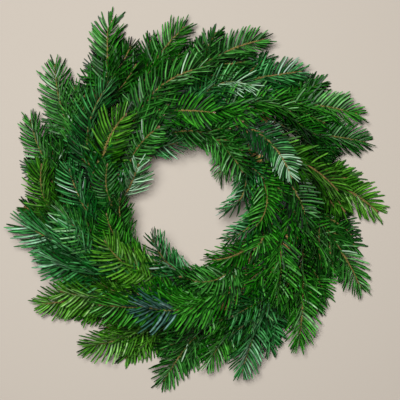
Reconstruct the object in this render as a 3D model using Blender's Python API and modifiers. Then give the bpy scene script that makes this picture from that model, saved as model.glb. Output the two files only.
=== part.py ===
"""Advent wreath of fir sprigs, bound with wire round a flat-bottomed straw ring.

The wreath lies on a table with its centre line in a horizontal plane.  Clock angles run
clockwise from +Y, seen from above, and so do all the sprigs.  A place on the wreath is given
by its clock angle, its plan radius and its layer.  Each sprig lies in a layer of its own: a
curved sheet that touches the straw ring where the sprig's cut end is bound, then climbs and
flares away from the ring towards the tips.  Every sheet has the same form and starts a little
further round the ring than the one before, so the sprigs overlap like shingles and never meet.
"""

import math

import bmesh
import bpy
from mathutils import Vector

# ---- Driving dimensions (metres, radians) ---------------------------------------------------
RING_RADIUS = 0.105        # centre line of the straw ring
TUBE_RADIUS = 0.0225       # round part of the straw ring's section
TUBE_HEIGHT = 0.020        # height of that section's centre: the underside is cut flat
TURNS = 18                 # turns of binding wire, each holding three sprigs
GAP = 0.0003               # clearance between pieces that touch

WIRE_RADIUS = 0.0005
WIRE_STANDOFF = WIRE_RADIUS + GAP
THREAD_RADIUS = 0.0004
THREAD_STANDOFF = THREAD_RADIUS + 1.5 * GAP
WAIST_DEPTH = 0.0020       # how far a turn of wire sinks into the underside of the straw
WIRE_OFFSET = math.radians(0.7)     # wire and thread lie side by side in each waist

STEM_DIAMETER = 0.0044     # twig at its cut end
TWIG_DIAMETER = 0.0026     # twig at its bud
FROND_EDGE = 0.0013        # thickness of the needle fan half-way out
NEEDLE_EDGE = 0.0007       # thickness at the needle tips
BARE_STEM = 0.028          # stripped length that the wire holds
BOUND_AT = 0.014           # distance from the cut end to the wire
TOOTH_PITCH = 0.0125       # length of twig to one tooth of the needle fan
TIP_NEEDLES = 0.013        # reach of the needles past the bud
LEAVE_EASE = 0.36          # how far a twig holds its first direction, in twig lengths
ARRIVE_EASE = 0.44         # and its last

# ---- The layers -----------------------------------------------------------------------------
POLE_HEIGHT = 0.008        # the sheets' sections are polar curves round a point this high
CLIMB = 0.28               # rise of a sheet per length of ring
CLIMB_GROWTH = 0.10        # added rise as the sprig straightens away from the ring
OUTER_FLARE = 3.2          # how much faster a sheet grows at the outer skirt than at the crown
INNER_FLARE = 1.3
FLARE_ANGLE = math.radians(14.0)
SKIRT_ANGLE = math.radians(-1.7)    # the lowest direction that a sheet reaches

# ---- The ring's section -----------------------------------------------------------------------
RING_SEGMENTS = 4 * TURNS  # a waist, a slope and two flats to each turn
SECTION_SEGMENTS = 16
SECTION_STEP = math.tau / SECTION_SEGMENTS
STRAND_WAIST = 1.0 - WIRE_OFFSET * RING_SEGMENTS / math.tau    # the waist's share where a strand lies

# Where each turn's three sprigs are bound, as angles round the ring's section: outside, top, inside.
LANES = {"outer": math.radians(42.0), "crown": math.radians(90.0), "inner": math.radians(138.0)}

# Needle colours: linear RGB and roughness.
TONES = {
    "deep": ((0.030, 0.105, 0.022), 0.50),
    "old": ((0.018, 0.075, 0.014), 0.50),
    "moss": ((0.045, 0.125, 0.045), 0.50),
    "fresh": ((0.070, 0.170, 0.020), 0.48),
    "blue": ((0.050, 0.130, 0.095), 0.52),
    "slate": ((0.065, 0.120, 0.110), 0.55),
    "silver": ((0.120, 0.230, 0.150), 0.55),
}

# One row for each turn of wire: the bud's clock angle (degrees) and plan radius (mm), the heading
# of the twig there (degrees from +Y), half the spread of the needles (mm), and the tone.
ARRANGEMENT = {
    "outer": [
        (40, 195, 84, 26, "blue"), (61, 212, 108, 27, "deep"), (69, 208, 103, 26, "old"),
        (92, 211, 130, 26, "fresh"), (116, 213, 157, 27, "moss"), (142, 197, 188, 28, "deep"),
        (163, 196, 195, 29, "blue"), (174, 180, 212, 29, "deep"), (187, 205, 212, 27, "moss"),
        (216, 200, 262, 29, "fresh"), (236, 204, 262, 28, "fresh"), (264, 188, 291, 34, "blue"),
        (284, 175, 10, 29, "fresh"), (297, 206, 349, 27, "moss"), (315, 220, 357, 28, "moss"),
        (336, 231, 3, 28, "deep"), (358, 203, 48, 29, "deep"), (23, 202, 79, 28, "moss"),
    ],
    "crown": [
        (46, 150, 122, 30, "deep"), (74, 115, 160, 29, "silver"), (84, 163, 138, 30, "fresh"),
        (99, 128, 172, 30, "old"), (113, 164, 172, 31, "deep"), (137, 140, 190, 31, "deep"),
        (156, 158, 216, 30, "deep"), (203, 123, 283, 32, "slate"), (222, 150, 275, 31, "deep"),
        (236, 176, 284, 29, "fresh"), (250, 172, 300, 31, "blue"), (267, 146, 320, 30, "moss"),
        (285, 140, 345, 31, "blue"), (324, 160, 38, 30, "blue"), (322, 119, 40, 31, "fresh"),
        (4, 151, 78, 31, "moss"), (13, 103, 100, 29, "deep"), (26, 147, 112, 29, "silver"),
    ],
    "inner": [
        (46, 57, 182, 25, "moss"), (92, 41, 236, 26, "blue"), (107, 76, 219, 27, "deep"),
        (131, 57, 250, 26, "blue"), (125, 86, 225, 28, "deep"), (158, 69, 266, 28, "deep"),
        (176, 90, 275, 27, "moss"), (188, 82, 290, 27, "old"), (225, 59, 340, 27, "blue"),
        (246, 103, 332, 30, "fresh"), (262, 92, 350, 27, "deep"), (274, 86, 5, 27, "moss"),
        (294, 102, 12, 28, "old"), (311, 76, 28, 22, "silver"), (336, 92, 55, 29, "moss"),
        (343, 81, 75, 27, "blue"), (6, 86, 98, 28, "old"), (51, 74, 150, 26, "moss"),
    ],
}


# ---- Places on the wreath -------------------------------------------------------------------
def on_clock(clock, radius, height=0.0):
    """The point at a clock angle, a plan radius and a height."""
    return Vector((radius * math.sin(clock), radius * math.cos(clock), height))


def ring_reach(phi, standoff):
    """Distance from the pole to a circle round the straw, in the direction phi of the section."""
    rise = TUBE_HEIGHT - POLE_HEIGHT
    radius = TUBE_RADIUS + standoff
    return rise * math.sin(phi) + math.sqrt(radius ** 2 - (rise * math.cos(phi)) ** 2)


def sheet_reach(run, phi):
    """Distance from the pole to a sprig's sheet, a length of ring past the cut end."""
    lift = CLIMB * run + CLIMB_GROWTH * run * run / (2.0 * RING_RADIUS)
    flare = 1.0 + OUTER_FLARE * math.exp(-phi / FLARE_ANGLE)
    flare += INNER_FLARE * math.exp((phi - math.pi) / FLARE_ANGLE)
    return ring_reach(phi, STEM_DIAMETER / 2.0 + GAP) + lift * flare


def section_angle(run, radius):
    """The direction phi in which a sheet reaches a plan radius."""
    low, high = SKIRT_ANGLE, math.pi - SKIRT_ANGLE
    for _ in range(40):
        middle = (low + high) / 2.0
        if RING_RADIUS + sheet_reach(run, middle) * math.cos(middle) > radius:
            low = middle
        else:
            high = middle
    return (low + high) / 2.0


def on_sheet(root_clock, plan):
    """Lift a plan point on to the sheet of the sprig that is bound at root_clock."""
    clock = math.atan2(plan.x, plan.y)
    run = RING_RADIUS * ((clock - root_clock + math.pi) % math.tau - math.pi)
    phi = section_angle(run, plan.to_2d().length)
    reach = sheet_reach(run, phi)
    return on_clock(clock, RING_RADIUS + reach * math.cos(phi), POLE_HEIGHT + reach * math.sin(phi))


def winding_clock(turn, phi):
    """Clock angle of the wire in the direction phi of the section: it slants over the top half."""
    return (turn + phi / math.pi) * math.tau / TURNS + WIRE_OFFSET


# ---- Sprigs ---------------------------------------------------------------------------------
class Sprig:
    """The plan and the widths of one sprig."""

    def __init__(self, lane, turn, row):
        bud_clock, bud_radius, heading, spread, self.tone = row
        phi = LANES[lane]
        self.root_clock = winding_clock(turn, phi) - BOUND_AT / RING_RADIUS
        root_radius = RING_RADIUS + sheet_reach(0.0, phi) * math.cos(phi)
        self.root = on_clock(self.root_clock, root_radius)
        self.bud = on_clock(math.radians(bud_clock), bud_radius * 0.001)
        self.spread = spread * 0.001
        # The twig leaves along the ring, then bends towards its bud.
        self.length = (self.bud - self.root).length
        self.leave = self.root + on_clock(self.root_clock + math.pi / 2.0, LEAVE_EASE * self.length)
        self.arrive = self.bud - on_clock(math.radians(heading), ARRIVE_EASE * self.length)
        self.teeth = round((self.length - BARE_STEM) / TOOTH_PITCH)

    def twig(self, t):
        """Plan point of the twig, and its direction, from cut end (0) to bud (1)."""
        line = [self.root, self.leave, self.arrive, self.bud]
        while len(line) > 2:
            line = [near.lerp(far, t) for near, far in zip(line, line[1:])]
        return line[0].lerp(line[1], t), (line[1] - line[0]).normalized()

    def half_spread(self, t):
        """Half the width of the needle fan: it fills out, then closes towards the bud."""
        bare = BARE_STEM / self.length
        grown = min(max((t - bare) / (1.0 - bare), 0.0), 1.0)
        return self.spread * (0.62 + 0.38 * math.sin(math.pi * min(grown * 1.25, 1.0) ** 0.8))

    def place(self, t, ahead, aside):
        """A point beside the twig, on the sprig's sheet.

        aside is measured along the sheet, so its plan width is less where the sheet is steep.
        """
        point, heading = self.twig(t)
        across = Vector((heading.y, -heading.x, 0.0))
        probe = 0.004
        slope = on_sheet(self.root_clock, point + across * probe).z
        slope -= on_sheet(self.root_clock, point - across * probe).z
        slope /= 2.0 * probe
        return on_sheet(self.root_clock, point + heading * ahead + across * aside / math.hypot(1.0, slope))


def sprig_surface(sprig):
    """The middle surface of a sprig: a strip along the twig with a tooth for each bunch of needles.

    Returns the mesh and each vertex's thickness.
    """
    bare = BARE_STEM / sprig.length
    stem_rows = [0.0, 0.36 * bare, 0.68 * bare]
    fan_rows = [bare + (1.0 - bare) * j / sprig.teeth for j in range(sprig.teeth + 1)]
    rows = stem_rows + fan_rows
    bm = bmesh.new()
    thickness = []

    def add(t, ahead, aside, thick):
        thickness.append(thick)
        return bm.verts.new(sprig.place(t, ahead, aside))

    strip = []
    for t in rows:
        twig_thick = STEM_DIAMETER + (TWIG_DIAMETER - STEM_DIAMETER) * t
        if t < bare:
            width, edge, ahead = STEM_DIAMETER / 2.0, twig_thick * 0.5, 0.0
        else:
            width = 0.52 * sprig.half_spread(t)
            edge, ahead = FROND_EDGE, 0.45 * width
        strip.append([add(t, ahead, -width, edge), add(t, 0.0, 0.0, twig_thick), add(t, ahead, width, edge)])

    for near, far in zip(strip, strip[1:]):
        bm.faces.new((near[0], near[1], far[1], far[0]))
        bm.faces.new((near[1], near[2], far[2], far[1]))
    first_tooth = len(stem_rows)
    for j in range(first_tooth, len(rows) - 1):
        t = (rows[j] + rows[j + 1]) / 2.0
        reach = sprig.half_spread(t)
        for side, column in ((-1.0, 0), (1.0, 2)):
            tip = add(t, 0.78 * reach, side * reach, NEEDLE_EDGE)
            base = (strip[j][column], strip[j + 1][column])
            bm.faces.new((base[0], base[1], tip) if side < 0.0 else (base[1], base[0], tip))
    end = strip[-1]
    tip = add(1.0, TIP_NEEDLES, 0.0, NEEDLE_EDGE)
    bm.faces.new((end[0], end[1], tip))
    bm.faces.new((end[1], end[2], tip))
    bmesh.ops.recalc_face_normals(bm, faces=bm.faces)
    return bm, thickness


def make_sprig(name, sprig, material, collection):
    bm, thickness = sprig_surface(sprig)
    mesh = bpy.data.meshes.new(name)
    bm.to_mesh(mesh)
    bm.free()
    mesh.materials.append(material)
    obj = bpy.data.objects.new(name, mesh)
    collection.objects.link(obj)
    girth = obj.vertex_groups.new(name="girth")
    for index, thick in enumerate(thickness):
        girth.add([index], thick / STEM_DIAMETER, "REPLACE")
    solid = obj.modifiers.new("Thickness", "SOLIDIFY")
    solid.thickness = STEM_DIAMETER
    solid.offset = 0.0
    solid.vertex_group = girth.name
    return obj


# ---- Straw ring, thread and wire --------------------------------------------------------------
def straw_section(phi, waist):
    """A point of the ring's section: radial offset and height.  waist is 0 to 1."""
    offset = TUBE_RADIUS * math.cos(phi)
    height = max(TUBE_HEIGHT + TUBE_RADIUS * math.sin(phi), 0.0)
    sunk = waist * WAIST_DEPTH * max(-math.sin(phi), 0.0)
    return offset * (1.0 - sunk / TUBE_RADIUS), height + sunk


def make_straw_ring(material, collection):
    """A torus with a flat underside, drawn in a little under each turn of wire."""
    bpy.ops.mesh.primitive_torus_add(
        major_segments=RING_SEGMENTS, minor_segments=SECTION_SEGMENTS,
        major_radius=RING_RADIUS, minor_radius=TUBE_RADIUS)
    obj = bpy.context.object
    obj.name = obj.data.name = "straw_ring"
    per_turn = RING_SEGMENTS // TURNS
    for vertex in obj.data.vertices:
        clock = math.atan2(vertex.co.x, vertex.co.y)
        station = round(clock / math.tau * RING_SEGMENTS)
        waist = 1.0 if station % per_turn == 0 else 0.0
        phi = math.atan2(vertex.co.z, vertex.co.to_2d().length - RING_RADIUS)
        offset, height = straw_section(phi, waist)
        vertex.co = on_clock(clock, RING_RADIUS + offset, height)
    obj.data.materials.append(material)
    obj.data.shade_smooth()
    for other in obj.users_collection:
        other.objects.unlink(obj)
    collection.objects.link(obj)
    return obj


def beside_straw(clock, phi, standoff, waist):
    """A point held off the straw's surface."""
    offset, height = straw_section(phi, waist)
    offset += standoff * math.cos(phi)
    height += standoff * math.sin(phi)
    return on_clock(clock, RING_RADIUS + offset, height)


def up_from_beneath(clock, standoff):
    """The run of a wire or thread in a waist, from beneath the ring up its outer side."""
    return [beside_straw(clock, -k * SECTION_STEP, standoff, STRAND_WAIST) for k in (3, 2, 1, 0)]


def down_beneath(clock, standoff):
    """The run down the hole side into the next waist."""
    return [beside_straw(clock, math.pi + k * SECTION_STEP, standoff, STRAND_WAIST) for k in (0, 1, 2, 3)]


def wire_route(sprigs):
    """The binding wire: up the outside, tight over three stems, down the hole side, and so on."""
    points = []
    for turn in range(TURNS):
        points += up_from_beneath(winding_clock(turn, 0.0), WIRE_STANDOFF)
        for lane in LANES:
            sprig = sprigs[lane][turn]
            crossing, _ = sprig.twig(BOUND_AT / sprig.length)
            phi_stem = section_angle(BOUND_AT, crossing.length)
            reach = sheet_reach(BOUND_AT, phi_stem) + STEM_DIAMETER / 2.0 + WIRE_STANDOFF + GAP
            for side in (-1.0, 1.0):
                phi = phi_stem + side * 0.75 * STEM_DIAMETER / reach
                points.append(on_clock(winding_clock(turn, phi), RING_RADIUS + reach * math.cos(phi),
                                       POLE_HEIGHT + reach * math.sin(phi)))
        points += down_beneath(winding_clock(turn, math.pi), WIRE_STANDOFF)
    return points


def thread_route():
    """The straw's own thread: half as many turns as the wire, close on the straw.

    It winds the other way, so it crosses under the wire only where stems hold the wire up.  It
    goes a little past its next waist, and comes back to it behind the wire.
    """
    points = []
    pitch = math.tau / TURNS
    steps = SECTION_SEGMENTS // 2
    overshoot = pitch / steps
    for turn in range(0, -TURNS, -2):
        start = turn * pitch - WIRE_OFFSET
        end = start - 2.0 * pitch
        points += up_from_beneath(start, THREAD_STANDOFF)
        for k in range(1, steps):
            clock = start + (end - overshoot - start) * k / (steps - 1)
            points.append(beside_straw(clock, k * SECTION_STEP, THREAD_STANDOFF, 0.0))
        points += down_beneath(end, THREAD_STANDOFF)
    return points


def make_strand(name, points, radius, material, collection):
    """A closed loop of round wire or thread through the points."""
    curve = bpy.data.curves.new(name, "CURVE")
    curve.dimensions = "3D"
    curve.bevel_depth = radius
    curve.bevel_resolution = 0
    curve.use_fill_caps = True
    spline = curve.splines.new("POLY")
    spline.points.add(len(points) - 1)
    for target, point in zip(spline.points, points):
        target.co = (*point, 1.0)
    spline.use_cyclic_u = True
    curve.materials.append(material)
    obj = bpy.data.objects.new(name, curve)
    collection.objects.link(obj)
    return obj


# ---- Assembly ---------------------------------------------------------------------------------
def make_material(name, color, roughness, metallic=0.0):
    material = bpy.data.materials.new(name)
    material.use_nodes = True
    shader = material.node_tree.nodes["Principled BSDF"]
    shader.inputs["Base Color"].default_value = (*color, 1.0)
    shader.inputs["Roughness"].default_value = roughness
    shader.inputs["Metallic"].default_value = metallic
    return material


def stand_on_origin(objects):
    """Parent everything to one empty, and bring the wreath's box centre over the origin."""
    depsgraph = bpy.context.evaluated_depsgraph_get()
    points = []
    for obj in objects:
        points += [vertex.co.copy() for vertex in obj.evaluated_get(depsgraph).to_mesh().vertices]
    empty = bpy.data.objects.new("advent_wreath_origin", None)
    bpy.context.scene.collection.objects.link(empty)
    for obj in objects:
        obj.parent = empty
    for axis in (0, 1):
        values = [point[axis] for point in points]
        empty.location[axis] = -(min(values) + max(values)) / 2.0


def build_wreath():
    for obj in list(bpy.data.objects):
        bpy.data.objects.remove(obj)
    collection = bpy.data.collections.new("advent_wreath")
    bpy.context.scene.collection.children.link(collection)

    straw = make_material("straw", (0.520, 0.370, 0.130), 0.75)
    thread = make_material("jute_thread", (0.300, 0.200, 0.090), 0.90)
    wire = make_material("green_wire", (0.010, 0.050, 0.015), 0.40, 0.6)
    firs = {tone: make_material("fir_" + tone, *look) for tone, look in TONES.items()}

    sprigs = {}
    for lane, rows in ARRANGEMENT.items():
        sprigs[lane] = [Sprig(lane, turn, row) for turn, row in enumerate(rows)]

    objects = [make_straw_ring(straw, collection)]
    objects.append(make_strand("straw_thread", thread_route(), THREAD_RADIUS, thread, collection))
    objects.append(make_strand("binding_wire", wire_route(sprigs), WIRE_RADIUS, wire, collection))
    for lane, group in sprigs.items():
        for number, sprig in enumerate(group, start=1):
            name = f"{lane}_sprig_{number:02d}"
            objects.append(make_sprig(name, sprig, firs[sprig.tone], collection))
    stand_on_origin(objects)


build_wreath()
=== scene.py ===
"""Advent wreath of fir: every sprig has its twig, buds and needles, on a bound straw ring.

Lengths are metres.  Clock angles run clockwise from +Y, seen from above, and so do the sprigs.
Each sprig lies on a sheet of its own, the middle of its CAD solid: the sheet touches the straw
where the sprig is bound, then climbs and flares away from the ring.
"""

import math
from collections import namedtuple

import bpy
import numpy as np
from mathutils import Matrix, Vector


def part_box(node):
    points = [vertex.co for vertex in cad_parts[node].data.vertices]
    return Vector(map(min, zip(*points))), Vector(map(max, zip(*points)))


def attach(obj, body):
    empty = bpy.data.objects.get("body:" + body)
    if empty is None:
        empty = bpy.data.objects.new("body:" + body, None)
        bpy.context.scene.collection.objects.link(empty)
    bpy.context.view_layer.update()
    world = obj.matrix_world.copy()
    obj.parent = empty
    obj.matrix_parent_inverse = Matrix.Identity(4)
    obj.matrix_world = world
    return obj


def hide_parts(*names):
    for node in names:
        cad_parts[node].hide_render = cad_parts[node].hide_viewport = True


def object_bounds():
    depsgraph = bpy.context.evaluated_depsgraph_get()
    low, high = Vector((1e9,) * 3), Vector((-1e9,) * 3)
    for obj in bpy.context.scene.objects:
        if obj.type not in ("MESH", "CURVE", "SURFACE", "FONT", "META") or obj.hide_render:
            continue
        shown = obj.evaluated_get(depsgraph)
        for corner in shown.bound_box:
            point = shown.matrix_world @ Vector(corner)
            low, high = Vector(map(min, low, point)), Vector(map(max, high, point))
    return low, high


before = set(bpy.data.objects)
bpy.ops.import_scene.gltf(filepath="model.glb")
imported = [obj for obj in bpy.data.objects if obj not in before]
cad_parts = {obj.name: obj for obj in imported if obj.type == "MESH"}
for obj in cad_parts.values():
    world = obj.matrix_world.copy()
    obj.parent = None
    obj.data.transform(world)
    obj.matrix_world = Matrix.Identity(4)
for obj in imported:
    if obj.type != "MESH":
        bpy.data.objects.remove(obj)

CAD_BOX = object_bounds()
MM = 0.001

# ---- The straw ring and the sheets, as the solids have them -------------------------------------
RING_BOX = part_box("straw_ring")
RING_CENTRE = np.array([(RING_BOX[0][0] + RING_BOX[1][0]) / 2,
                        (RING_BOX[0][1] + RING_BOX[1][1]) / 2, 0.0])
TUBE_RADIUS = 0.0225        # round part of the straw ring's section
RING_RADIUS = (RING_BOX[1][0] - RING_BOX[0][0]) / 2 - TUBE_RADIUS
TUBE_HEIGHT = RING_BOX[1][2] - TUBE_RADIUS
TURNS = 18                  # turns of binding wire, each holding three sprigs
GAP = 0.0003                # clearance between a stem and the straw
WAIST_DEPTH = 0.0020        # how far a turn of wire sinks into the underside of the straw
WIRE_OFFSET = math.radians(0.7)     # wire and thread lie side by side in each waist
STEM_DIAMETER = 0.0044      # twig at its cut end
TWIG_DIAMETER = 0.0026      # twig at its bud
BARE_STEM = 0.011           # stripped length at the cut end
BOUND_AT = 0.014            # distance from the cut end to the wire
LEAVE_EASE = 0.36           # how far a twig holds its first direction, in twig lengths
ARRIVE_EASE = 0.44          # and its last
PLAN_POINTS = 25            # points of a twig's path
POLE_HEIGHT = 0.008         # the sheets' sections are polar curves round a point this high
CLIMB = 0.28                # rise of a sheet per length of ring
CLIMB_GROWTH = 0.10         # added rise as the sprig straightens away from the ring
OUTER_FLARE = 3.2           # how much faster a sheet grows at the outer skirt than at the crown
INNER_FLARE = 1.3
FLARE_ANGLE = math.radians(14.0)
SKIRT_ANGLE = math.radians(-1.7)    # the lowest direction that a sheet reaches
LANES = {"outer": math.radians(42.0), "crown": math.radians(90.0), "inner": math.radians(138.0)}

# One row for each turn of wire: the bud's clock angle (degrees) and plan radius (mm), the heading
# of the twig there (degrees from +Y), the length of the side needles (mm), how far the needles
# part over the twig (0 to 1), and the look of the foliage.
ARRANGEMENT = {
    "outer": [
        (39, 193, 84, 22, 0.6, "blue"), (61, 212, 108, 23, 0.2, "deep"),
        (70, 208, 103, 23, 0.2, "old"), (92, 211, 130, 23, 1.0, "fresh"),
        (116, 213, 157, 22, 0.7, "moss"), (142, 197, 188, 23, 0.4, "deep"),
        (163, 196, 195, 23, 0.2, "blue"), (174, 180, 212, 23, 0.2, "deep"),
        (189, 203, 212, 23, 0.4, "moss"), (216, 200, 262, 24, 0.2, "fresh"),
        (236, 204, 262, 23, 0.5, "fresh"), (262, 190, 291, 35, 0.3, "blue"),
        (284, 175, 10, 22, 0.4, "fresh"), (297, 206, 349, 22, 0.2, "moss"),
        (315, 222, 359, 24, 0.2, "moss"), (336, 237, 3, 24, 0.5, "deep"),
        (357, 200, 48, 23, 0.5, "deep"), (23, 202, 79, 22, 0.7, "moss"),
    ],
    "crown": [
        (46, 150, 122, 24, 0.3, "deep"), (74, 113, 160, 18, 0.6, "silver"),
        (84, 163, 138, 26, 1.0, "fresh"), (99, 128, 172, 24, 0.3, "old"),
        (113, 164, 172, 25, 0.3, "deep"), (137, 140, 190, 25, 0.3, "deep"),
        (156, 158, 216, 24, 0.3, "deep"), (205, 127, 285, 30, 0.1, "slate"),
        (222, 150, 275, 25, 0.4, "deep"), (236, 176, 284, 24, 0.3, "fresh"),
        (250, 172, 300, 31, 0.2, "blue"), (267, 146, 320, 25, 0.3, "moss"),
        (285, 140, 345, 25, 0.2, "blue"), (324, 160, 38, 25, 0.6, "blue"),
        (325, 118, 46, 25, 0.7, "fresh"), (4, 151, 78, 25, 0.6, "moss"),
        (13, 103, 100, 24, 0.4, "deep"), (26, 147, 112, 24, 0.6, "silver"),
    ],
    "inner": [
        (42, 49, 204, 24, 0.3, "moss"), (98, 40, 250, 23, 0.3, "blue"),
        (107, 76, 219, 23, 0.3, "deep"), (133, 57, 250, 21, 0.3, "blue"),
        (125, 86, 225, 23, 0.5, "deep"), (158, 67, 266, 23, 0.9, "deep"),
        (176, 86, 275, 23, 0.2, "moss"), (188, 82, 290, 22, 0.2, "old"),
        (226, 59, 340, 25, 0.3, "blue"), (246, 103, 332, 29, 0.0, "fresh"),
        (262, 94, 350, 19, 0.2, "deep"), (273, 80, 5, 20, 0.3, "moss"),
        (294, 102, 12, 19, 0.2, "old"), (308, 77, 26, 24, 0.6, "silver"),
        (336, 92, 55, 22, 0.3, "moss"), (346, 70, 80, 24, 0.4, "blue"),
        (6, 81, 98, 24, 0.3, "old"), (56, 66, 154, 24, 0.3, "moss"),
    ],
}


def on_clock(clock, radius, height=0.0):
    """Points at clock angles, plan radii and heights."""
    return np.stack(np.broadcast_arrays(radius * np.sin(clock), radius * np.cos(clock), height), -1)


def ring_reach(phi, standoff):
    """Distance from the sheets' pole to a circle round the straw, in the direction phi."""
    rise = TUBE_HEIGHT - POLE_HEIGHT
    return rise * np.sin(phi) + np.sqrt((TUBE_RADIUS + standoff) ** 2 - (rise * np.cos(phi)) ** 2)


def sheet_reach(run, phi):
    """Distance from the pole to a sprig's sheet, a length of ring past the cut end."""
    lift = CLIMB * run + CLIMB_GROWTH * run * run / (2.0 * RING_RADIUS)
    flare = 1.0 + OUTER_FLARE * np.exp(-phi / FLARE_ANGLE)
    flare += INNER_FLARE * np.exp((phi - math.pi) / FLARE_ANGLE)
    return ring_reach(phi, STEM_DIAMETER / 2.0 + GAP) + lift * flare


def on_sheet(root_clock, plan):
    """Lift plan points (n, 2) on to the sheet of the sprig that is bound at root_clock."""
    clock = np.arctan2(plan[:, 0], plan[:, 1])
    radius = np.hypot(plan[:, 0], plan[:, 1])
    run = RING_RADIUS * ((clock - root_clock + math.pi) % math.tau - math.pi)
    low = np.full(len(plan), SKIRT_ANGLE)
    high = math.pi - low
    for _ in range(30):
        middle = (low + high) / 2.0
        beyond = RING_RADIUS + sheet_reach(run, middle) * np.cos(middle) > radius
        low, high = np.where(beyond, middle, low), np.where(beyond, high, middle)
    reach = sheet_reach(run, low)
    return on_clock(clock, RING_RADIUS + reach * np.cos(low), POLE_HEIGHT + reach * np.sin(low))


def unit(vectors):
    return vectors / np.maximum(np.linalg.norm(vectors, axis=-1, keepdims=True), 1e-12)


def sheet_normal(root_clock, plan):
    """The outward normals of a sheet."""
    step = 2.0 * MM
    sides = []
    for offset in ((step, 0.0), (0.0, step)):
        sides.append(on_sheet(root_clock, plan + offset) - on_sheet(root_clock, plan - np.array(offset)))
    return unit(np.cross(*sides))


# ---- Materials ----------------------------------------------------------------------------------
def linear(hex_colour):
    """An sRGB hex colour as linear RGBA."""
    channels = [int(hex_colour[k:k + 2], 16) / 255.0 for k in (1, 3, 5)]
    return [c / 12.92 if c <= 0.04045 else ((c + 0.055) / 1.055) ** 2.4 for c in channels] + [1.0]


def add(tree, kind, inputs=None, stops=None, **settings):
    """Add a shader node with its settings, its colour stops, and its inputs: values or sockets."""
    made = tree.nodes.new("ShaderNode" + kind)
    for key, value in settings.items():
        setattr(made, key, value)
    if stops:
        elements = made.color_ramp.elements
        while len(elements) < len(stops):
            elements.new(0.5)
        for element, (position, colour) in zip(elements, stops):
            element.position = position
            element.color = linear(colour)
    for key, value in (inputs or {}).items():
        if isinstance(value, bpy.types.NodeSocket):
            tree.links.new(value, made.inputs[key])
        else:
            made.inputs[key].default_value = value
    return made


def new_material(name):
    material = bpy.data.materials.new(name)
    material.use_nodes = True
    material.node_tree.nodes.clear()
    return material, material.node_tree


def finish_material(tree, shader):
    add(tree, "OutputMaterial", {"Surface": shader.outputs[0]})


# Needle colours along each needle's ramp: the darkest, which the painted shade gives to needles beneath and
# behind; the usual green;
# a lighter green, which the painted light gives to needles on top; and the palest, a painted sheen; then
# the waxy bands on the underside.
FOLIAGE = {
    "deep": ("#000800", "#0e5a00", "#42992a", "#90c088", "#b0ccb0"),
    "old": ("#000600", "#063802", "#246c1c", "#649860", "#9cbc9c"),
    "moss": ("#010a02", "#14540c", "#48963a", "#9cc498", "#b4ccb4"),
    "fresh": ("#021000", "#246204", "#60a430", "#a8cc8c", "#b4cca4"),
    "blue": ("#001002", "#0e5618", "#489a52", "#9cc4a8", "#b8d0c0"),
    "slate": ("#02120a", "#163a2e", "#3e7060", "#80a8a0", "#a0b8b4"),
    "silver": ("#021404", "#1c5e20", "#60ac60", "#a4d4a4", "#b4dab8"),
}
NEEDLE_FOOT = "#7d8a3a"     # the yellow foot of every needle
# The share of needles near the bud that have rolled over and show the wax beneath.
ROLLED = {
    "deep": 0.0, "old": 0.0, "moss": 0.01, "fresh": 0.0, "blue": 0.01, "slate": 0.0, "silver": 0.40,
}
# Slate and silver are only the main twig's look: the side shoots are greener.
SIDE_TONE = {"slate": "deep", "silver": "blue"}


def fir_needle(name, shades):
    """Fir needle: a smooth waxy skin.  Each needle has its own green with painted light and shade in it,
    blotches that are partly painted glints, a yellow foot, painted shade at its margins and foot, and pale
    bands of wax beneath; the wax gives a soft broad sheen."""
    dark, usual, light, pale, wax = shades
    material, tree = new_material(name)
    age_and_shading = add(tree, "Attribute", attribute_name="needle_age")
    along = add(tree, "Attribute", attribute_name="needle_along")
    under = add(tree, "Attribute", attribute_name="needle_under")
    margin = add(tree, "Attribute", attribute_name="needle_margin")
    green = add(tree, "ValToRGB", {"Fac": age_and_shading.outputs["Fac"]},
                stops=[(0.0, dark), (0.42, usual), (0.75, light), (1.0, pale)])
    # Blotches about 6 mm across, so that a needle isn't one even green: a random tone, and where they are
    # brightest, painted glints.
    place = add(tree, "TexCoord")
    blotch = add(tree, "TexNoise", {
        "Vector": place.outputs["Object"], "Scale": 1.0 / (6.0 * MM), "Detail": 2.0})
    blotch_and_glint = add(tree, "MapRange", {
        "Value": blotch.outputs["Fac"], "From Min": 0.3, "From Max": 0.7, "To Min": 0.45, "To Max": 1.6})
    # Painted shade: the margins are darkened, and so is the foot, where it stands in shade deep between its
    # neighbours.
    painted_margin_shade = add(tree, "MapRange", {"Value": margin.outputs["Fac"], "To Min": 1.0, "To Max": 0.22})
    painted_foot_shade = add(tree, "MapRange", {
        "Value": along.outputs["Fac"], "From Max": 0.45, "To Min": 0.4, "To Max": 1.0})
    tinted = green.outputs["Color"]
    for shading in (blotch_and_glint, painted_margin_shade, painted_foot_shade):
        tinted = add(tree, "Mix", {"Factor": 1.0, "A": tinted, "B": shading.outputs["Result"]},
                     data_type="RGBA", blend_type="MULTIPLY").outputs["Result"]
    foot = add(tree, "MapRange", {"Value": along.outputs["Fac"], "From Min": 0.07, "From Max": 0.0})
    for share, colour in ((foot.outputs["Result"], NEEDLE_FOOT), (under.outputs["Fac"], wax)):
        tinted = add(tree, "Mix", {"Factor": share, "A": tinted, "B": linear(colour)},
                     data_type="RGBA").outputs["Result"]
    shader = add(tree, "BsdfPrincipled", {"Base Color": tinted, "Roughness": 0.42, "IOR": 1.25})
    finish_material(tree, shader)
    return material


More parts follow.
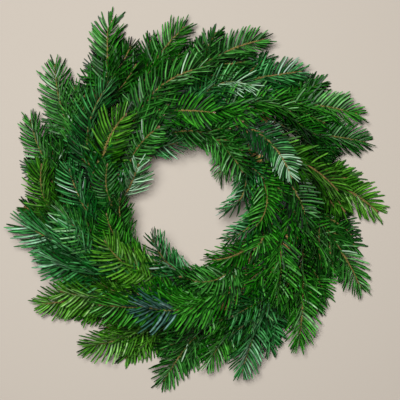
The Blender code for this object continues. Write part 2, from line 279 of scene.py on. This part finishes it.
def fir_bark():
    """Young fir bark: thin, yellow-brown and slightly downy, with darker leaf scars."""
    material, tree = new_material("fir_bark")
    place = add(tree, "TexCoord")
    scars = add(tree, "TexVoronoi", {"Vector": place.outputs["Object"], "Scale": 1.0 / (2.2 * MM)})
    brown = add(tree, "ValToRGB", {"Fac": scars.outputs["Distance"]},
                stops=[(0.0, "#2a2208"), (0.35, "#524218"), (0.8, "#7a622c")])
    bump = add(tree, "Bump", {"Height": scars.outputs["Distance"], "Strength": 0.5, "Distance": 0.3 * MM})
    shader = add(tree, "BsdfPrincipled", {
        "Base Color": brown.outputs["Color"], "Roughness": 0.8, "Normal": bump.outputs["Normal"]})
    finish_material(tree, shader)
    return material


def bud_scales():
    """Winter bud: tight red-brown scales with a thin film of resin."""
    material, tree = new_material("bud_scales")
    place = add(tree, "TexCoord")
    scales = add(tree, "TexVoronoi", {"Vector": place.outputs["Object"], "Scale": 1.0 / (1.2 * MM)})
    brown = add(tree, "ValToRGB", {"Fac": scales.outputs["Distance"]},
                stops=[(0.0, "#7a6434"), (0.6, "#5c4424"), (1.0, "#332413")])
    bump = add(tree, "Bump", {"Height": scales.outputs["Distance"], "Strength": 0.6, "Distance": 0.2 * MM})
    shader = add(tree, "BsdfPrincipled", {
        "Base Color": brown.outputs["Color"], "Roughness": 0.6, "Coat Weight": 0.1,
        "Normal": bump.outputs["Normal"]})
    finish_material(tree, shader)
    return material


def wheat_straw():
    """Wheat straw: dry, slightly shiny stalks, each its own gold, streaked along its length."""
    material, tree = new_material("wheat_straw")
    stalk = add(tree, "Attribute", attribute_name="stalk_run")
    # Stalks are about 3 mm wide and their streaks about 40 mm long.
    stretched = add(tree, "VectorMath", {0: stalk.outputs["Vector"], 1: (25.0, 330.0, 330.0)},
                    operation="MULTIPLY")
    streak = add(tree, "TexNoise", {"Vector": stretched.outputs["Vector"], "Scale": 1.0, "Detail": 3.0})
    gold = add(tree, "ValToRGB", {"Fac": streak.outputs["Fac"]},
               stops=[(0.25, "#8a6a31"), (0.5, "#c29d55"), (0.75, "#e0c684")])
    bump = add(tree, "Bump", {"Height": streak.outputs["Fac"], "Strength": 0.5, "Distance": 0.5 * MM})
    shader = add(tree, "BsdfPrincipled", {
        "Base Color": gold.outputs["Color"], "Roughness": 0.55, "Normal": bump.outputs["Normal"]})
    finish_material(tree, shader)
    return material


def jute_thread():
    """Jute: two dull brown strands twisted together, seen as bands across a thin thread."""
    material, tree = new_material("twisted_jute")
    place = add(tree, "TexCoord")
    twist = add(tree, "TexWave", {
        "Vector": place.outputs["Object"], "Scale": 1.0 / (9.0 * MM), "Distortion": 2.0},
        bands_direction="DIAGONAL")
    brown = add(tree, "ValToRGB", {"Fac": twist.outputs["Fac"]}, stops=[(0.0, "#5d4526"), (1.0, "#a58455")])
    bump = add(tree, "Bump", {"Height": twist.outputs["Fac"], "Strength": 0.6, "Distance": 0.2 * MM})
    shader = add(tree, "BsdfPrincipled", {
        "Base Color": brown.outputs["Color"], "Roughness": 0.9, "Normal": bump.outputs["Normal"]})
    finish_material(tree, shader)
    return material


def lacquered_wire():
    """Iron wire in dark green lacquer: smooth and glossy, duller where the reel rubbed it."""
    material, tree = new_material("lacquered_wire")
    place = add(tree, "TexCoord")
    rub = add(tree, "TexNoise", {"Vector": place.outputs["Object"], "Scale": 1.0 / (8.0 * MM)})
    green = add(tree, "ValToRGB", {"Fac": rub.outputs["Fac"]}, stops=[(0.3, "#12301a"), (0.7, "#1f4a2a")])
    rough = add(tree, "MapRange", {"Value": rub.outputs["Fac"], "To Min": 0.25, "To Max": 0.5})
    shader = add(tree, "BsdfPrincipled", {
        "Base Color": green.outputs["Color"], "Roughness": rough.outputs["Result"], "Metallic": 0.2,
        "Coat Weight": 0.4})
    finish_material(tree, shader)
    return material


# ---- Mesh building ------------------------------------------------------------------------------
class Build:
    """Points, faces and per-point values, gathered for one piece."""

    def __init__(self):
        self.points, self.loops, self.sizes, self.finishes = [], [], [], []
        self.values = {}
        self.count = 0

    def add(self, points, faces, finish, **values):
        """points (n, 3); faces (m, k) index them; finish is a material number.

        values are per point: (n,) or (n, 3).
        """
        self.points.append(points)
        self.loops.append((faces + self.count).ravel())
        self.sizes.append(np.full(len(faces), faces.shape[1]))
        self.finishes.append(np.full(len(faces), finish))
        for name, value in values.items():
            self.values.setdefault(name, []).append((self.count, value))
        self.count += len(points)

    def cap(self, corners, finish):
        """Close an opening of the shape that was added last; corners (m, k) index all the points."""
        self.loops.append(corners.ravel())
        self.sizes.append(np.full(len(corners), corners.shape[1]))
        self.finishes.append(np.full(len(corners), finish))

    def piece(self, name, materials, sharp_angle):
        """The mesh object of all that was added."""
        mesh = bpy.data.meshes.new(name)
        points = np.concatenate(self.points)
        loops, sizes = np.concatenate(self.loops), np.concatenate(self.sizes)
        mesh.vertices.add(len(points))
        mesh.vertices.foreach_set("co", points.astype(np.float32).ravel())
        mesh.loops.add(len(loops))
        mesh.loops.foreach_set("vertex_index", loops.astype(np.int32))
        mesh.polygons.add(len(sizes))
        mesh.polygons.foreach_set("loop_start", (np.cumsum(sizes) - sizes).astype(np.int32))
        mesh.polygons.foreach_set("material_index", np.concatenate(self.finishes).astype(np.int32))
        mesh.update(calc_edges=True)
        for key, parts in self.values.items():
            flat = parts[0][1].ndim == 1
            column = np.zeros((len(points),) if flat else (len(points), 3), np.float32)
            for start, value in parts:
                column[start:start + len(value)] = value
            attribute = mesh.attributes.new(key, "FLOAT" if flat else "FLOAT_VECTOR", "POINT")
            attribute.data.foreach_set("value" if flat else "vector", column.ravel())
        for material in materials:
            mesh.materials.append(material)
        mesh.shade_smooth()
        mesh.set_sharp_from_angle(angle=sharp_angle)
        mesh.validate()
        obj = bpy.data.objects.new(name, mesh)
        bpy.context.scene.collection.objects.link(obj)
        return obj


def loft_faces(rows, columns):
    """Quads of a loft whose points come row by row, closed round each row."""
    row, column = np.meshgrid(np.arange(rows - 1), np.arange(columns), indexing="ij")
    here, beside = row * columns + column, row * columns + (column + 1) % columns
    return np.stack([here, beside, beside + columns, here + columns], -1).reshape(-1, 4)


def add_tube(build, path, side, up, radii, finish, columns=8):
    """A closed round tube or bud: path, side and up are (n, 3), radii is (n,)."""
    turn = np.arange(columns) * math.tau / columns
    rim = np.cos(turn)[None, :, None] * side[:, None] + np.sin(turn)[None, :, None] * up[:, None]
    points = (path[:, None] + radii[:, None, None] * rim).reshape(-1, 3)
    points = np.concatenate([points, path[:1], path[-1:]])
    points[:, 2] = np.maximum(points[:, 2], TWIG_CLEARANCE)
    build.add(points, loft_faces(len(path), columns), finish)
    start, end = len(points) - 2, len(points) - 1
    first = np.arange(columns)
    last = first + (len(path) - 1) * columns
    caps = [np.stack([np.roll(first, -1), first, np.full(columns, start)], -1),
            np.stack([last, np.roll(last, -1), np.full(columns, end)], -1)]
    build.cap(np.concatenate(caps) + build.count - len(points), finish)


# ---- Fir shoots ---------------------------------------------------------------------------------
NEEDLES_PER_LENGTH = 1150.0     # needles on each metre of twig, where they are of the usual length
USUAL_LENGTH = 23.0 * MM
NEEDLE_WIDTH = 2.15 * MM
NEEDLE_THICKNESS = 0.7 * MM
GROOVE_DEPTH = 0.12 * MM
FLOOR_CLEARANCE = 2.0 * MM      # the lowest place of a needle's middle
TWIG_CLEARANCE = 0.2 * MM       # and of a twig or a bud
# Places along a needle, and its half width there as a share of the widest.
NEEDLE_STATIONS = np.array([0.0, 0.12, 0.5, 0.91, 1.0])
NEEDLE_SHAPE = np.array([0.5, 0.92, 1.0, 0.9, 0.42])
NEEDLE, BARK, BUD, SIDE_NEEDLE = 0, 1, 2, 3
# Places along a bud and its radii there, then the end buds' directions and sizes.
BUD_PLACES = np.array([-0.5, 0.6, 1.8, 3.0, 4.0, 4.6]) * MM
BUD_RADII = np.array([0.9, 1.4, 1.6, 1.3, 0.7, 0.15]) * MM
END_BUDS = ((0.0, 0.8), (0.6, 0.6), (-0.6, 0.6))
# Each needle leaves the twig this share of a turn after the one before, and none leaves it further
# round from the top than this.
LEAF_TURN = 0.618034
LOWEST_FOOT = math.radians(126.0)
# Seen from above: the needles' angle to the twig in degrees, how much less it is for each mm that
# they are longer than a limit, and the length of twig at the bud where they close up.
SPLAY, SPLAY_LOSS, SPLAY_LIMIT = 62.0, 1.7, 24.0
BUD_TUFT = 26.0 * MM
# Painted shade that darkens the needles behind a sprig's own look and on its side shoots, and painted light
# that lightens those within it.
BEHIND_SHADE, SIDE_SHADE, OWN_LIGHT = 0.18, 0.20, 0.05
# How far the sprig's own look reaches back from its bud.
OWN_LOOK = {"outer": 48.0 * MM, "crown": 44.0 * MM, "inner": 75.0 * MM}


def smooth_step(x):
    x = np.clip(x, 0.0, 1.0)
    return x * x * (3.0 - 2.0 * x)


def add_needles(build, feet, heading, face, length, bend, age_and_shading, wax, finish, rng):
    """Closed flat needles: feet, heading, face and bend are (n, 3), length, age and wax are (n,)."""
    count = len(feet)
    face = unit(face - np.sum(face * heading, -1, keepdims=True) * heading)
    side = np.cross(heading, face)
    s = NEEDLE_STATIONS[None, :, None]
    centre = feet[:, None] + length[:, None, None] * (s * heading[:, None] + s * s * bend[:, None])
    centre[..., 2] = np.maximum(centre[..., 2], FLOOR_CLEARANCE)
    width = NEEDLE_WIDTH * np.sqrt(length / USUAL_LENGTH) * rng.uniform(0.88, 1.12, count)
    half = (width[:, None] / 2.0 * NEEDLE_SHAPE)[:, :, None]
    plump = (NEEDLE_THICKNESS * (0.35 + 0.65 * NEEDLE_SHAPE))[None, :, None]
    groove = (GROOVE_DEPTH * NEEDLE_SHAPE)[None, :, None]
    left = centre - half * side[:, None]
    right = centre + half * side[:, None]
    top = centre - groove * face[:, None]
    bottom = centre - plump * face[:, None]
    points = np.stack([left, top, right, bottom], 2).reshape(-1, 3)
    stations = len(NEEDLE_STATIONS)
    foot, tip = [3, 2, 1, 0], [4 * stations - 4 + k for k in range(4)]
    one = np.concatenate([loft_faces(stations, 4), [foot, tip]])
    faces = (one[None] + (np.arange(count) * 4 * stations)[:, None, None]).reshape(-1, 4)
    # The age value carries a random tone together with painted light and shade; the margin and along values
    # say where the material paints shade on each needle.
    age_and_shading = np.repeat(np.clip(age_and_shading, 0.0, 1.0), 4 * stations)
    under = np.repeat(wax, 4 * stations) * np.tile([0.0, 0.0, 0.0, 1.0], count * stations)
    margin = np.tile([1.0, 0.0, 1.0, 0.0], count * stations)
    along = np.tile(np.repeat(NEEDLE_STATIONS, 4), count)
    build.add(points, faces, finish, needle_age=age_and_shading, needle_under=under, needle_along=along,
              needle_margin=margin)


class Shoot:
    """One twig: a plan path lifted on to a sprig's sheet, with its side and up directions."""

    def __init__(self, root_clock, plan, lift):
        self.path = on_sheet(root_clock, plan) + RING_CENTRE
        self.up = sheet_normal(root_clock, plan)
        self.path = self.path + self.up * lift[:, None]
        self.ahead = unit(np.gradient(self.path, axis=0))
        self.up = unit(self.up - np.sum(self.up * self.ahead, -1, keepdims=True) * self.ahead)
        self.side = np.cross(self.ahead, self.up)
        steps = np.linalg.norm(np.diff(self.path, axis=0), axis=1)
        self.run = np.concatenate([[0.0], np.cumsum(steps)])
        self.length = self.run[-1]

    def at(self, run):
        """Path point, ahead, side and up at lengths along the twig."""
        found = []
        for line in (self.path, self.ahead, self.side, self.up):
            found.append(np.stack([np.interp(run, self.run, line[:, axis]) for axis in range(3)], -1))
        return found


# The needles of a sprig: their length, how far they part over the twig, the share rolled over, the
# reach of the sprig's own look, and how much paler or darker their colour is made.
Needles = namedtuple("Needles", "length parting rolled own_look younger")


def add_twig(build, shoot, bare, girth, parting, rng):
    """The twig of a shoot, thinner where needles cover it, and its end buds; returns its radii."""
    stout = 0.62 + 0.55 * parting
    radii = np.interp(shoot.run, [0.0, bare, shoot.length],
                      [girth / 2.0, 0.27 * girth * stout, 0.26 * TWIG_DIAMETER * stout])
    radii = radii * rng.uniform(0.93, 1.07, len(radii))
    add_tube(build, shoot.path, shoot.side, shoot.up, radii, BARK)
    tip, ahead, side, up = (line[-1] for line in (shoot.path, shoot.ahead, shoot.side, shoot.up))
    stations = len(BUD_PLACES)
    for spread, size in END_BUDS:
        way = unit(ahead * math.cos(spread) + side * math.sin(spread))
        across = unit(np.cross(way, up))
        path = tip + (BUD_PLACES * size)[:, None] * way
        add_tube(build, path, np.tile(across, (stations, 1)), np.tile(up, (stations, 1)),
                 BUD_RADII * size, BUD, columns=6)
    return radii


def clothe(build, shoot, bare, girth, needles, finish, rng):
    """The twig of a shoot, its end buds, and its needles from bare to the tip."""
    radii = add_twig(build, shoot, bare, girth, needles.parting, rng)
    clothed = shoot.length - bare
    count = max(int(clothed * NEEDLES_PER_LENGTH * USUAL_LENGTH / needles.length), 8)
    order = np.arange(count)
    run = bare + clothed * (order + rng.uniform(0.3, 0.7, count)) / count
    # Needles leave all round the twig but are combed to its sides; few are left beneath, and
    # those over the twig part to show it.
    turn = (order * LEAF_TURN + rng.uniform(-0.03, 0.03, count)) % 1.0 * 2.0 - 1.0
    least = math.radians(6.0 + 40.0 * needles.parting)
    off_top = least + np.abs(turn) ** (1.0 - 0.4 * needles.parting) * (LOWEST_FOOT - least)
    hand = np.sign(turn)
    # Most of them lean across the twig, so that it shows only where the needles part.
    crossed = rng.uniform(0.0, 1.0, count) < 0.95 * (1.0 - 0.8 * needles.parting)
    azimuth = math.pi / 2.0 - np.where(crossed, -hand, hand) * off_top
    beside = np.abs(np.cos(azimuth))
    point, ahead, side, up = shoot.at(run)
    to_tip = smooth_step((shoot.length - run) / BUD_TUFT)
    # Seen from above, the needles on one side of a twig are parallel, whatever their rise.
    sway = 6.0 * np.sin(run / (7.0 * MM) + rng.uniform(0.0, 3.0) + hand)
    skew = rng.normal(0.0, 4.0) * hand
    splay = SPLAY - SPLAY_LOSS * max(0.0, needles.length / MM - SPLAY_LIMIT)
    lean = np.radians(splay + sway + skew + rng.normal(0.0, 2.5, count)) * (0.45 + 0.55 * to_tip)
    rise = (math.pi / 2.0 - off_top) * 0.55 + rng.normal(0.0, 0.03, count)
    outward = unit(np.cos(azimuth)[:, None] * side + (0.7 * np.sin(azimuth))[:, None] * up)
    level = np.cos(lean)[:, None] * ahead + (hand * np.sin(lean))[:, None] * side
    heading = np.cos(rise)[:, None] * level + np.sin(rise)[:, None] * up
    length = needles.length * (0.78 + 0.22 * beside) * (0.60 + 0.40 * to_tip)
    length = length * rng.normal(1.0, 0.09, count)
    # Those that have rolled over turn their underside up.
    roll = rng.normal(0.0, 0.22, count)
    face = unit(up + roll[:, None] * side)
    near_bud = 1.0 - smooth_step((shoot.length - run) / (1.1 * needles.own_look) * 2.0 - 1.0)
    turned = rng.uniform(0.0, 1.0, count) < needles.rolled * near_bud
    face = np.where(turned[:, None], -face, face)
    wax = np.where(turned, 0.9, 0.2)
    bend = 0.28 * ahead + rng.normal(0.02, 0.05, count)[:, None] * up
    # Painted light and shade: the needles on top are coloured lighter, and those beneath, behind the
    # sprig's own look and on side shoots darker, as light and shade would make them.
    behind = shoot.length - run > needles.own_look
    shaded = BEHIND_SHADE * behind + SIDE_SHADE * (finish == SIDE_NEEDLE) - OWN_LIGHT * ~behind
    # The 0.45 * sin(azimuth) term is painted light on the needles over the twig and painted shade on those
    # beneath it.
    age_and_shading = rng.normal(rng.uniform(0.30, 0.42), 0.08, count) + 0.45 * np.sin(azimuth)
    age_and_shading = age_and_shading + needles.younger - shaded
    radius = np.interp(run, shoot.run, radii) * 0.8
    feet = point + radius[:, None] * outward
    own = shoot.length - run < needles.own_look * rng.uniform(0.85, 1.15, count)
    for which, needle_finish in ((own, finish), (~own, SIDE_NEEDLE)):
        add_needles(build, feet[which], heading[which], face[which], length[which], bend[which],
                    age_and_shading[which], wax[which], needle_finish, rng)


# Side shoots: where they leave the twig, as a share of its length, and their hand.
SIDE_SHOOTS = {
    "outer": ((0.30, -1.0), (0.38, 1.0), (0.50, -1.0), (0.58, 1.0)),
    "crown": ((0.20, 1.0), (0.32, 1.0), (0.40, -1.0), (0.54, 1.0)),
    "inner": ((0.34, -1.0), (0.48, 1.0)),
}
SIDE_LENGTH = {"outer": 0.42, "crown": 0.30, "inner": 0.36}     # in twig lengths
SIDE_POINTS = 10                    # points of a side shoot's path
SIDE_BEND = math.radians(16.0)      # how far it bends back towards the twig's direction
SIDE_DROP = 4.0 * MM                # how far its tip sinks under the sheet
SIDE_GIRTH = 0.8 * TWIG_DIAMETER + 0.6 * MM
SIDE_BARE = 2.0 * MM
SIDE_NEEDLES = 0.92                 # length of its needles, as a share of the twig's

# Sprigs whose needles are made paler or darker than their look says.
BRIGHTNESS_SHIFT = {
    ("outer", 2): -0.08, ("outer", 4): 0.12, ("outer", 12): 0.15, ("outer", 13): -0.15,
    ("outer", 14): -0.10, ("outer", 16): -0.08, ("outer", 17): -0.10,
    ("crown", 2): -0.10, ("crown", 4): -0.10, ("crown", 8): 0.08, ("crown", 13): -0.12,
    ("crown", 17): -0.08,
    ("inner", 3): -0.12, ("inner", 8): -0.08, ("inner", 11): -0.08, ("inner", 12): -0.10,
    ("inner", 14): 0.15,
}

# A sprig with two side shoots more, so that no straw shows beside it.
FULLER = {("inner", 18): ((0.58, -1.0), (0.68, -1.0))}

# How far a sprig's tip rises above its sheet: two were laid over their neighbours afterwards, and
# the highest one is pressed down a little.
LAID_OVER = {("crown", 15): 14.0 * MM, ("inner", 14): 8.0 * MM, ("crown", 8): -7.0 * MM}


def twig_plan(root, bud, root_clock, heading):
    """Plan points (n, 2) of a twig that leaves along the ring, then bends towards its bud."""
    length = np.linalg.norm(bud - root)
    leave = root + on_clock(root_clock + math.pi / 2.0, LEAVE_EASE * length)[:2]
    arrive = bud - on_clock(heading, ARRIVE_EASE * length)[:2]
    t = np.linspace(0.0, 1.0, PLAN_POINTS)[:, None]
    u = 1.0 - t
    return u ** 3 * root + 3.0 * u * u * t * leave + 3.0 * u * t * t * arrive + t ** 3 * bud


def side_plan(start, way, hand, reach):
    """Plan points (n, 2) of a side shoot from start, first in the direction way."""
    ways = way - hand * SIDE_BEND * np.linspace(0.0, 1.0, SIDE_POINTS)
    steps = np.stack([np.sin(ways), np.cos(ways)], -1) * reach / (SIDE_POINTS - 1)
    return start + np.concatenate([[[0.0, 0.0]], np.cumsum(steps[1:], axis=0)])


def sprig_piece(lane, number, row, materials):
    """One cut sprig with its side shoots, in place of its CAD solid."""
    bud_clock, bud_radius, heading, needle_length, parting, tone = row
    rng = np.random.default_rng(sorted(LANES).index(lane) * 100 + number)
    phi = LANES[lane]
    bound = (number - 1 + phi / math.pi) * math.tau / TURNS + WIRE_OFFSET
    root_clock = bound - BOUND_AT / RING_RADIUS
    root = on_clock(root_clock, RING_RADIUS + float(sheet_reach(0.0, phi)) * math.cos(phi))[:2]
    bud = on_clock(math.radians(bud_clock), bud_radius * MM)[:2]
    length = float(np.linalg.norm(bud - root))
    plan = twig_plan(root, bud, root_clock, math.radians(heading))
    over = LAID_OVER.get((lane, number), 0.0) * smooth_step(np.linspace(0.0, 2.0, PLAN_POINTS))
    needles = Needles(needle_length * MM, parting, ROLLED[tone], OWN_LOOK[lane],
                      BRIGHTNESS_SHIFT.get((lane, number), 0.0))
    build = Build()
    clothe(build, Shoot(root_clock, plan, over), BARE_STEM, STEM_DIAMETER, needles, NEEDLE, rng)
    ahead = unit(np.gradient(plan, axis=0))
    side_tone = SIDE_TONE.get(tone, tone)
    needles = needles._replace(length=needle_length * SIDE_NEEDLES * MM, rolled=ROLLED[side_tone])
    for share, hand in SIDE_SHOOTS[lane] + FULLER.get((lane, number), ()):
        k = int(share * (PLAN_POINTS - 1))
        reach = SIDE_LENGTH[lane] * rng.uniform(0.9, 1.1) * length * (1.25 - share)
        way = math.atan2(ahead[k][0], ahead[k][1]) + hand * math.radians(rng.uniform(34.0, 44.0))
        shoot = Shoot(root_clock, side_plan(plan[k], way, hand, reach),
                      over[k] + np.linspace(0.0, -SIDE_DROP, SIDE_POINTS))
        clothe(build, shoot, SIDE_BARE, SIDE_GIRTH, needles, SIDE_NEEDLE, rng)
    node = f"{lane}_sprig_{number:02d}"
    finishes = [materials[key] for key in ("fir_" + tone, "bark", "bud", "fir_" + side_tone)]
    piece = build.piece("fir_" + node, finishes, math.radians(50.0))
    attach(piece, "root")
    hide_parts(node)
    return piece


# ---- Straw ring ---------------------------------------------------------------------------------
def straw_surface(clock, phi, swell):
    """Points of the straw ring's surface, drawn in under each turn of wire."""
    station = math.tau / TURNS / 4.0
    nearest = np.abs((clock + 2.0 * station) % (4.0 * station) - 2.0 * station)
    waist = np.clip(1.0 - nearest / station, 0.0, 1.0)
    offset = (TUBE_RADIUS + swell) * np.cos(phi)
    height = np.maximum(TUBE_HEIGHT + (TUBE_RADIUS + swell) * np.sin(phi), -swell)
    sunk = waist * WAIST_DEPTH * np.maximum(-np.sin(phi), 0.0)
    radius = RING_RADIUS + offset * (1.0 - sunk / TUBE_RADIUS)
    return on_clock(clock, radius, height + sunk) + RING_CENTRE


CORE_ROWS, CORE_COLUMNS = 288, 40   # faces of the core along the ring and round it
CORE_DEPTH = 0.3 * MM               # how far the core lies under the stalks' middles
STALKS = 230
STALK_ROWS, STALK_SIDES = 14, 6
STALK_HALF_THICKNESS = 0.45 * MM
CUT_STEP, CUT_STEPS = 0.02 * MM, 12     # heights of the flat cuts underneath


def add_core(build):
    """The closed bundle under the loose stalks."""
    row, column = np.meshgrid(np.arange(CORE_ROWS), np.arange(CORE_COLUMNS), indexing="ij")
    clock, phi = row.ravel() * math.tau / CORE_ROWS, column.ravel() * math.tau / CORE_COLUMNS
    points = straw_surface(clock, phi, -CORE_DEPTH)
    next_row = (row + 1) % CORE_ROWS * CORE_COLUMNS
    next_column = (column + 1) % CORE_COLUMNS
    here, beside = row * CORE_COLUMNS + column, row * CORE_COLUMNS + next_column
    after, after_beside = next_row + column, next_row + next_column
    faces = np.stack([here, after, after_beside, beside], -1).reshape(-1, 4)
    run = np.stack([clock * RING_RADIUS, phi * TUBE_RADIUS, 0.0 * phi], -1)
    build.add(points, faces, 0, stalk_run=run)


def add_stalk(build, number, rng):
    """One stalk, half sunk in the bundle and slightly askew."""
    start, spin = rng.uniform(0.0, math.tau), rng.uniform(0.0, math.tau)
    arc = rng.uniform(0.05, 0.16) / RING_RADIUS
    t = np.linspace(0.0, 1.0, STALK_ROWS)
    clock, phi = start + arc * t, spin + rng.normal(0.0, 0.25) * t
    path = straw_surface(clock, phi, 0.0)
    outward = unit(path - on_clock(clock, RING_RADIUS, TUBE_HEIGHT) - RING_CENTRE)
    ahead = unit(np.gradient(path, axis=0))
    outward = unit(outward - np.sum(outward * ahead, -1, keepdims=True) * ahead)
    half = rng.uniform(1.1, 1.8) * MM
    turn = np.arange(STALK_SIDES) * math.tau / STALK_SIDES
    rim = half * np.cos(turn)[None, :, None] * np.cross(ahead, outward)[:, None]
    rim = rim + STALK_HALF_THICKNESS * np.sin(turn)[None, :, None] * outward[:, None]
    points = (path[:, None] + rim).reshape(-1, 3)
    # Stalks are cut flat underneath, no two neighbours at quite the same height.
    points[:, 2] = np.maximum(points[:, 2], CUT_STEP * (number % CUT_STEPS))
    # Each stalk has a place of its own in the straw's pattern.
    run = np.stack([np.repeat(clock * RING_RADIUS, STALK_SIDES),
                    np.tile(np.cos(turn) * half, STALK_ROWS) + number * 0.01,
                    np.full(len(points), number * 0.37)], -1)
    build.add(points, loft_faces(STALK_ROWS, STALK_SIDES), 0, stalk_run=run)
    foot = np.arange(STALK_SIDES)[None] + build.count - len(points)
    build.cap(foot[:, ::-1], 0)
    build.cap(foot + len(points) - STALK_SIDES, 0)


def straw_piece(material):
    """The bundle: a core, and stalks that lie along it, half sunk in its surface."""
    rng = np.random.default_rng(7)
    build = Build()
    add_core(build)
    for number in range(STALKS):
        add_stalk(build, number, rng)
    piece = build.piece("straw_bundle", [material], math.radians(40.0))
    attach(piece, "root")
    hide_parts("straw_ring")
    return piece


# ---- Floor, light and camera --------------------------------------------------------------------
VIEW_WIDTH = 0.448          # width of the view at half the wreath's height
VIEW_HEIGHT = 1.60          # camera height
VIEW_OFFSET = np.array([8.96, 4.48, 0.0]) * MM      # middle of the view from the ring's centre
FLOOR_DEPTH = 0.0002        # the floor lies this far under the wreath
# Name, place (m), side (m) and power (W) of each lamp: a small ceiling light, and a weak large one.
LAMPS = (("key", (-0.2, 0.25, 1.72), 0.5, 46.0), ("fill", (0.9, -0.5, 1.4), 1.4, 0.5))


def make_stage():
    """Floor, room light, lamps and camera."""
    bpy.ops.mesh.primitive_plane_add(size=6.0, location=(0.0, 0.0, -FLOOR_DEPTH))
    floor = bpy.context.object
    floor.name = "floor"
    material, tree = new_material("matt_floor")
    shader = add(tree, "BsdfPrincipled", {"Base Color": linear("#aea59a"), "Roughness": 0.9})
    finish_material(tree, shader)
    floor.data.materials.append(material)

    world = bpy.data.worlds.new("studio")
    bpy.context.scene.world = world
    world.use_nodes = True
    background = world.node_tree.nodes["Background"]
    background.inputs["Color"].default_value = linear("#f4f6fa")
    background.inputs["Strength"].default_value = 0.02

    for name, place, size, power in LAMPS:
        light = bpy.data.lights.new(name, "AREA")
        light.size = size
        light.energy = power
        lamp = bpy.data.objects.new(name, light)
        lamp.location = place
        lamp.rotation_euler = (-lamp.location).to_track_quat("-Z", "Y").to_euler()
        bpy.context.scene.collection.objects.link(lamp)

    camera = bpy.data.objects.new("camera", bpy.data.cameras.new("camera"))
    bpy.context.scene.collection.objects.link(camera)
    middle = (CAD_BOX[1][2] - CAD_BOX[0][2]) / 2.0
    camera.location = RING_CENTRE + VIEW_OFFSET + (0.0, 0.0, VIEW_HEIGHT)
    camera.data.lens = camera.data.sensor_width * (VIEW_HEIGHT - middle) / VIEW_WIDTH
    bpy.context.scene.camera = camera
    bpy.context.scene.view_settings.view_transform = "Standard"


def main():
    make_stage()
    materials = {"fir_" + tone: fir_needle("fir_needle_" + tone, shades)
                 for tone, shades in FOLIAGE.items()}
    materials["bark"] = fir_bark()
    materials["bud"] = bud_scales()
    straw_piece(wheat_straw())
    for node, material in (("straw_thread", jute_thread()), ("binding_wire", lacquered_wire())):
        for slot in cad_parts[node].material_slots:
            slot.material = material
    for lane, rows in ARRANGEMENT.items():
        for number, row in enumerate(rows, start=1):
            sprig_piece(lane, number, row, materials)


main()
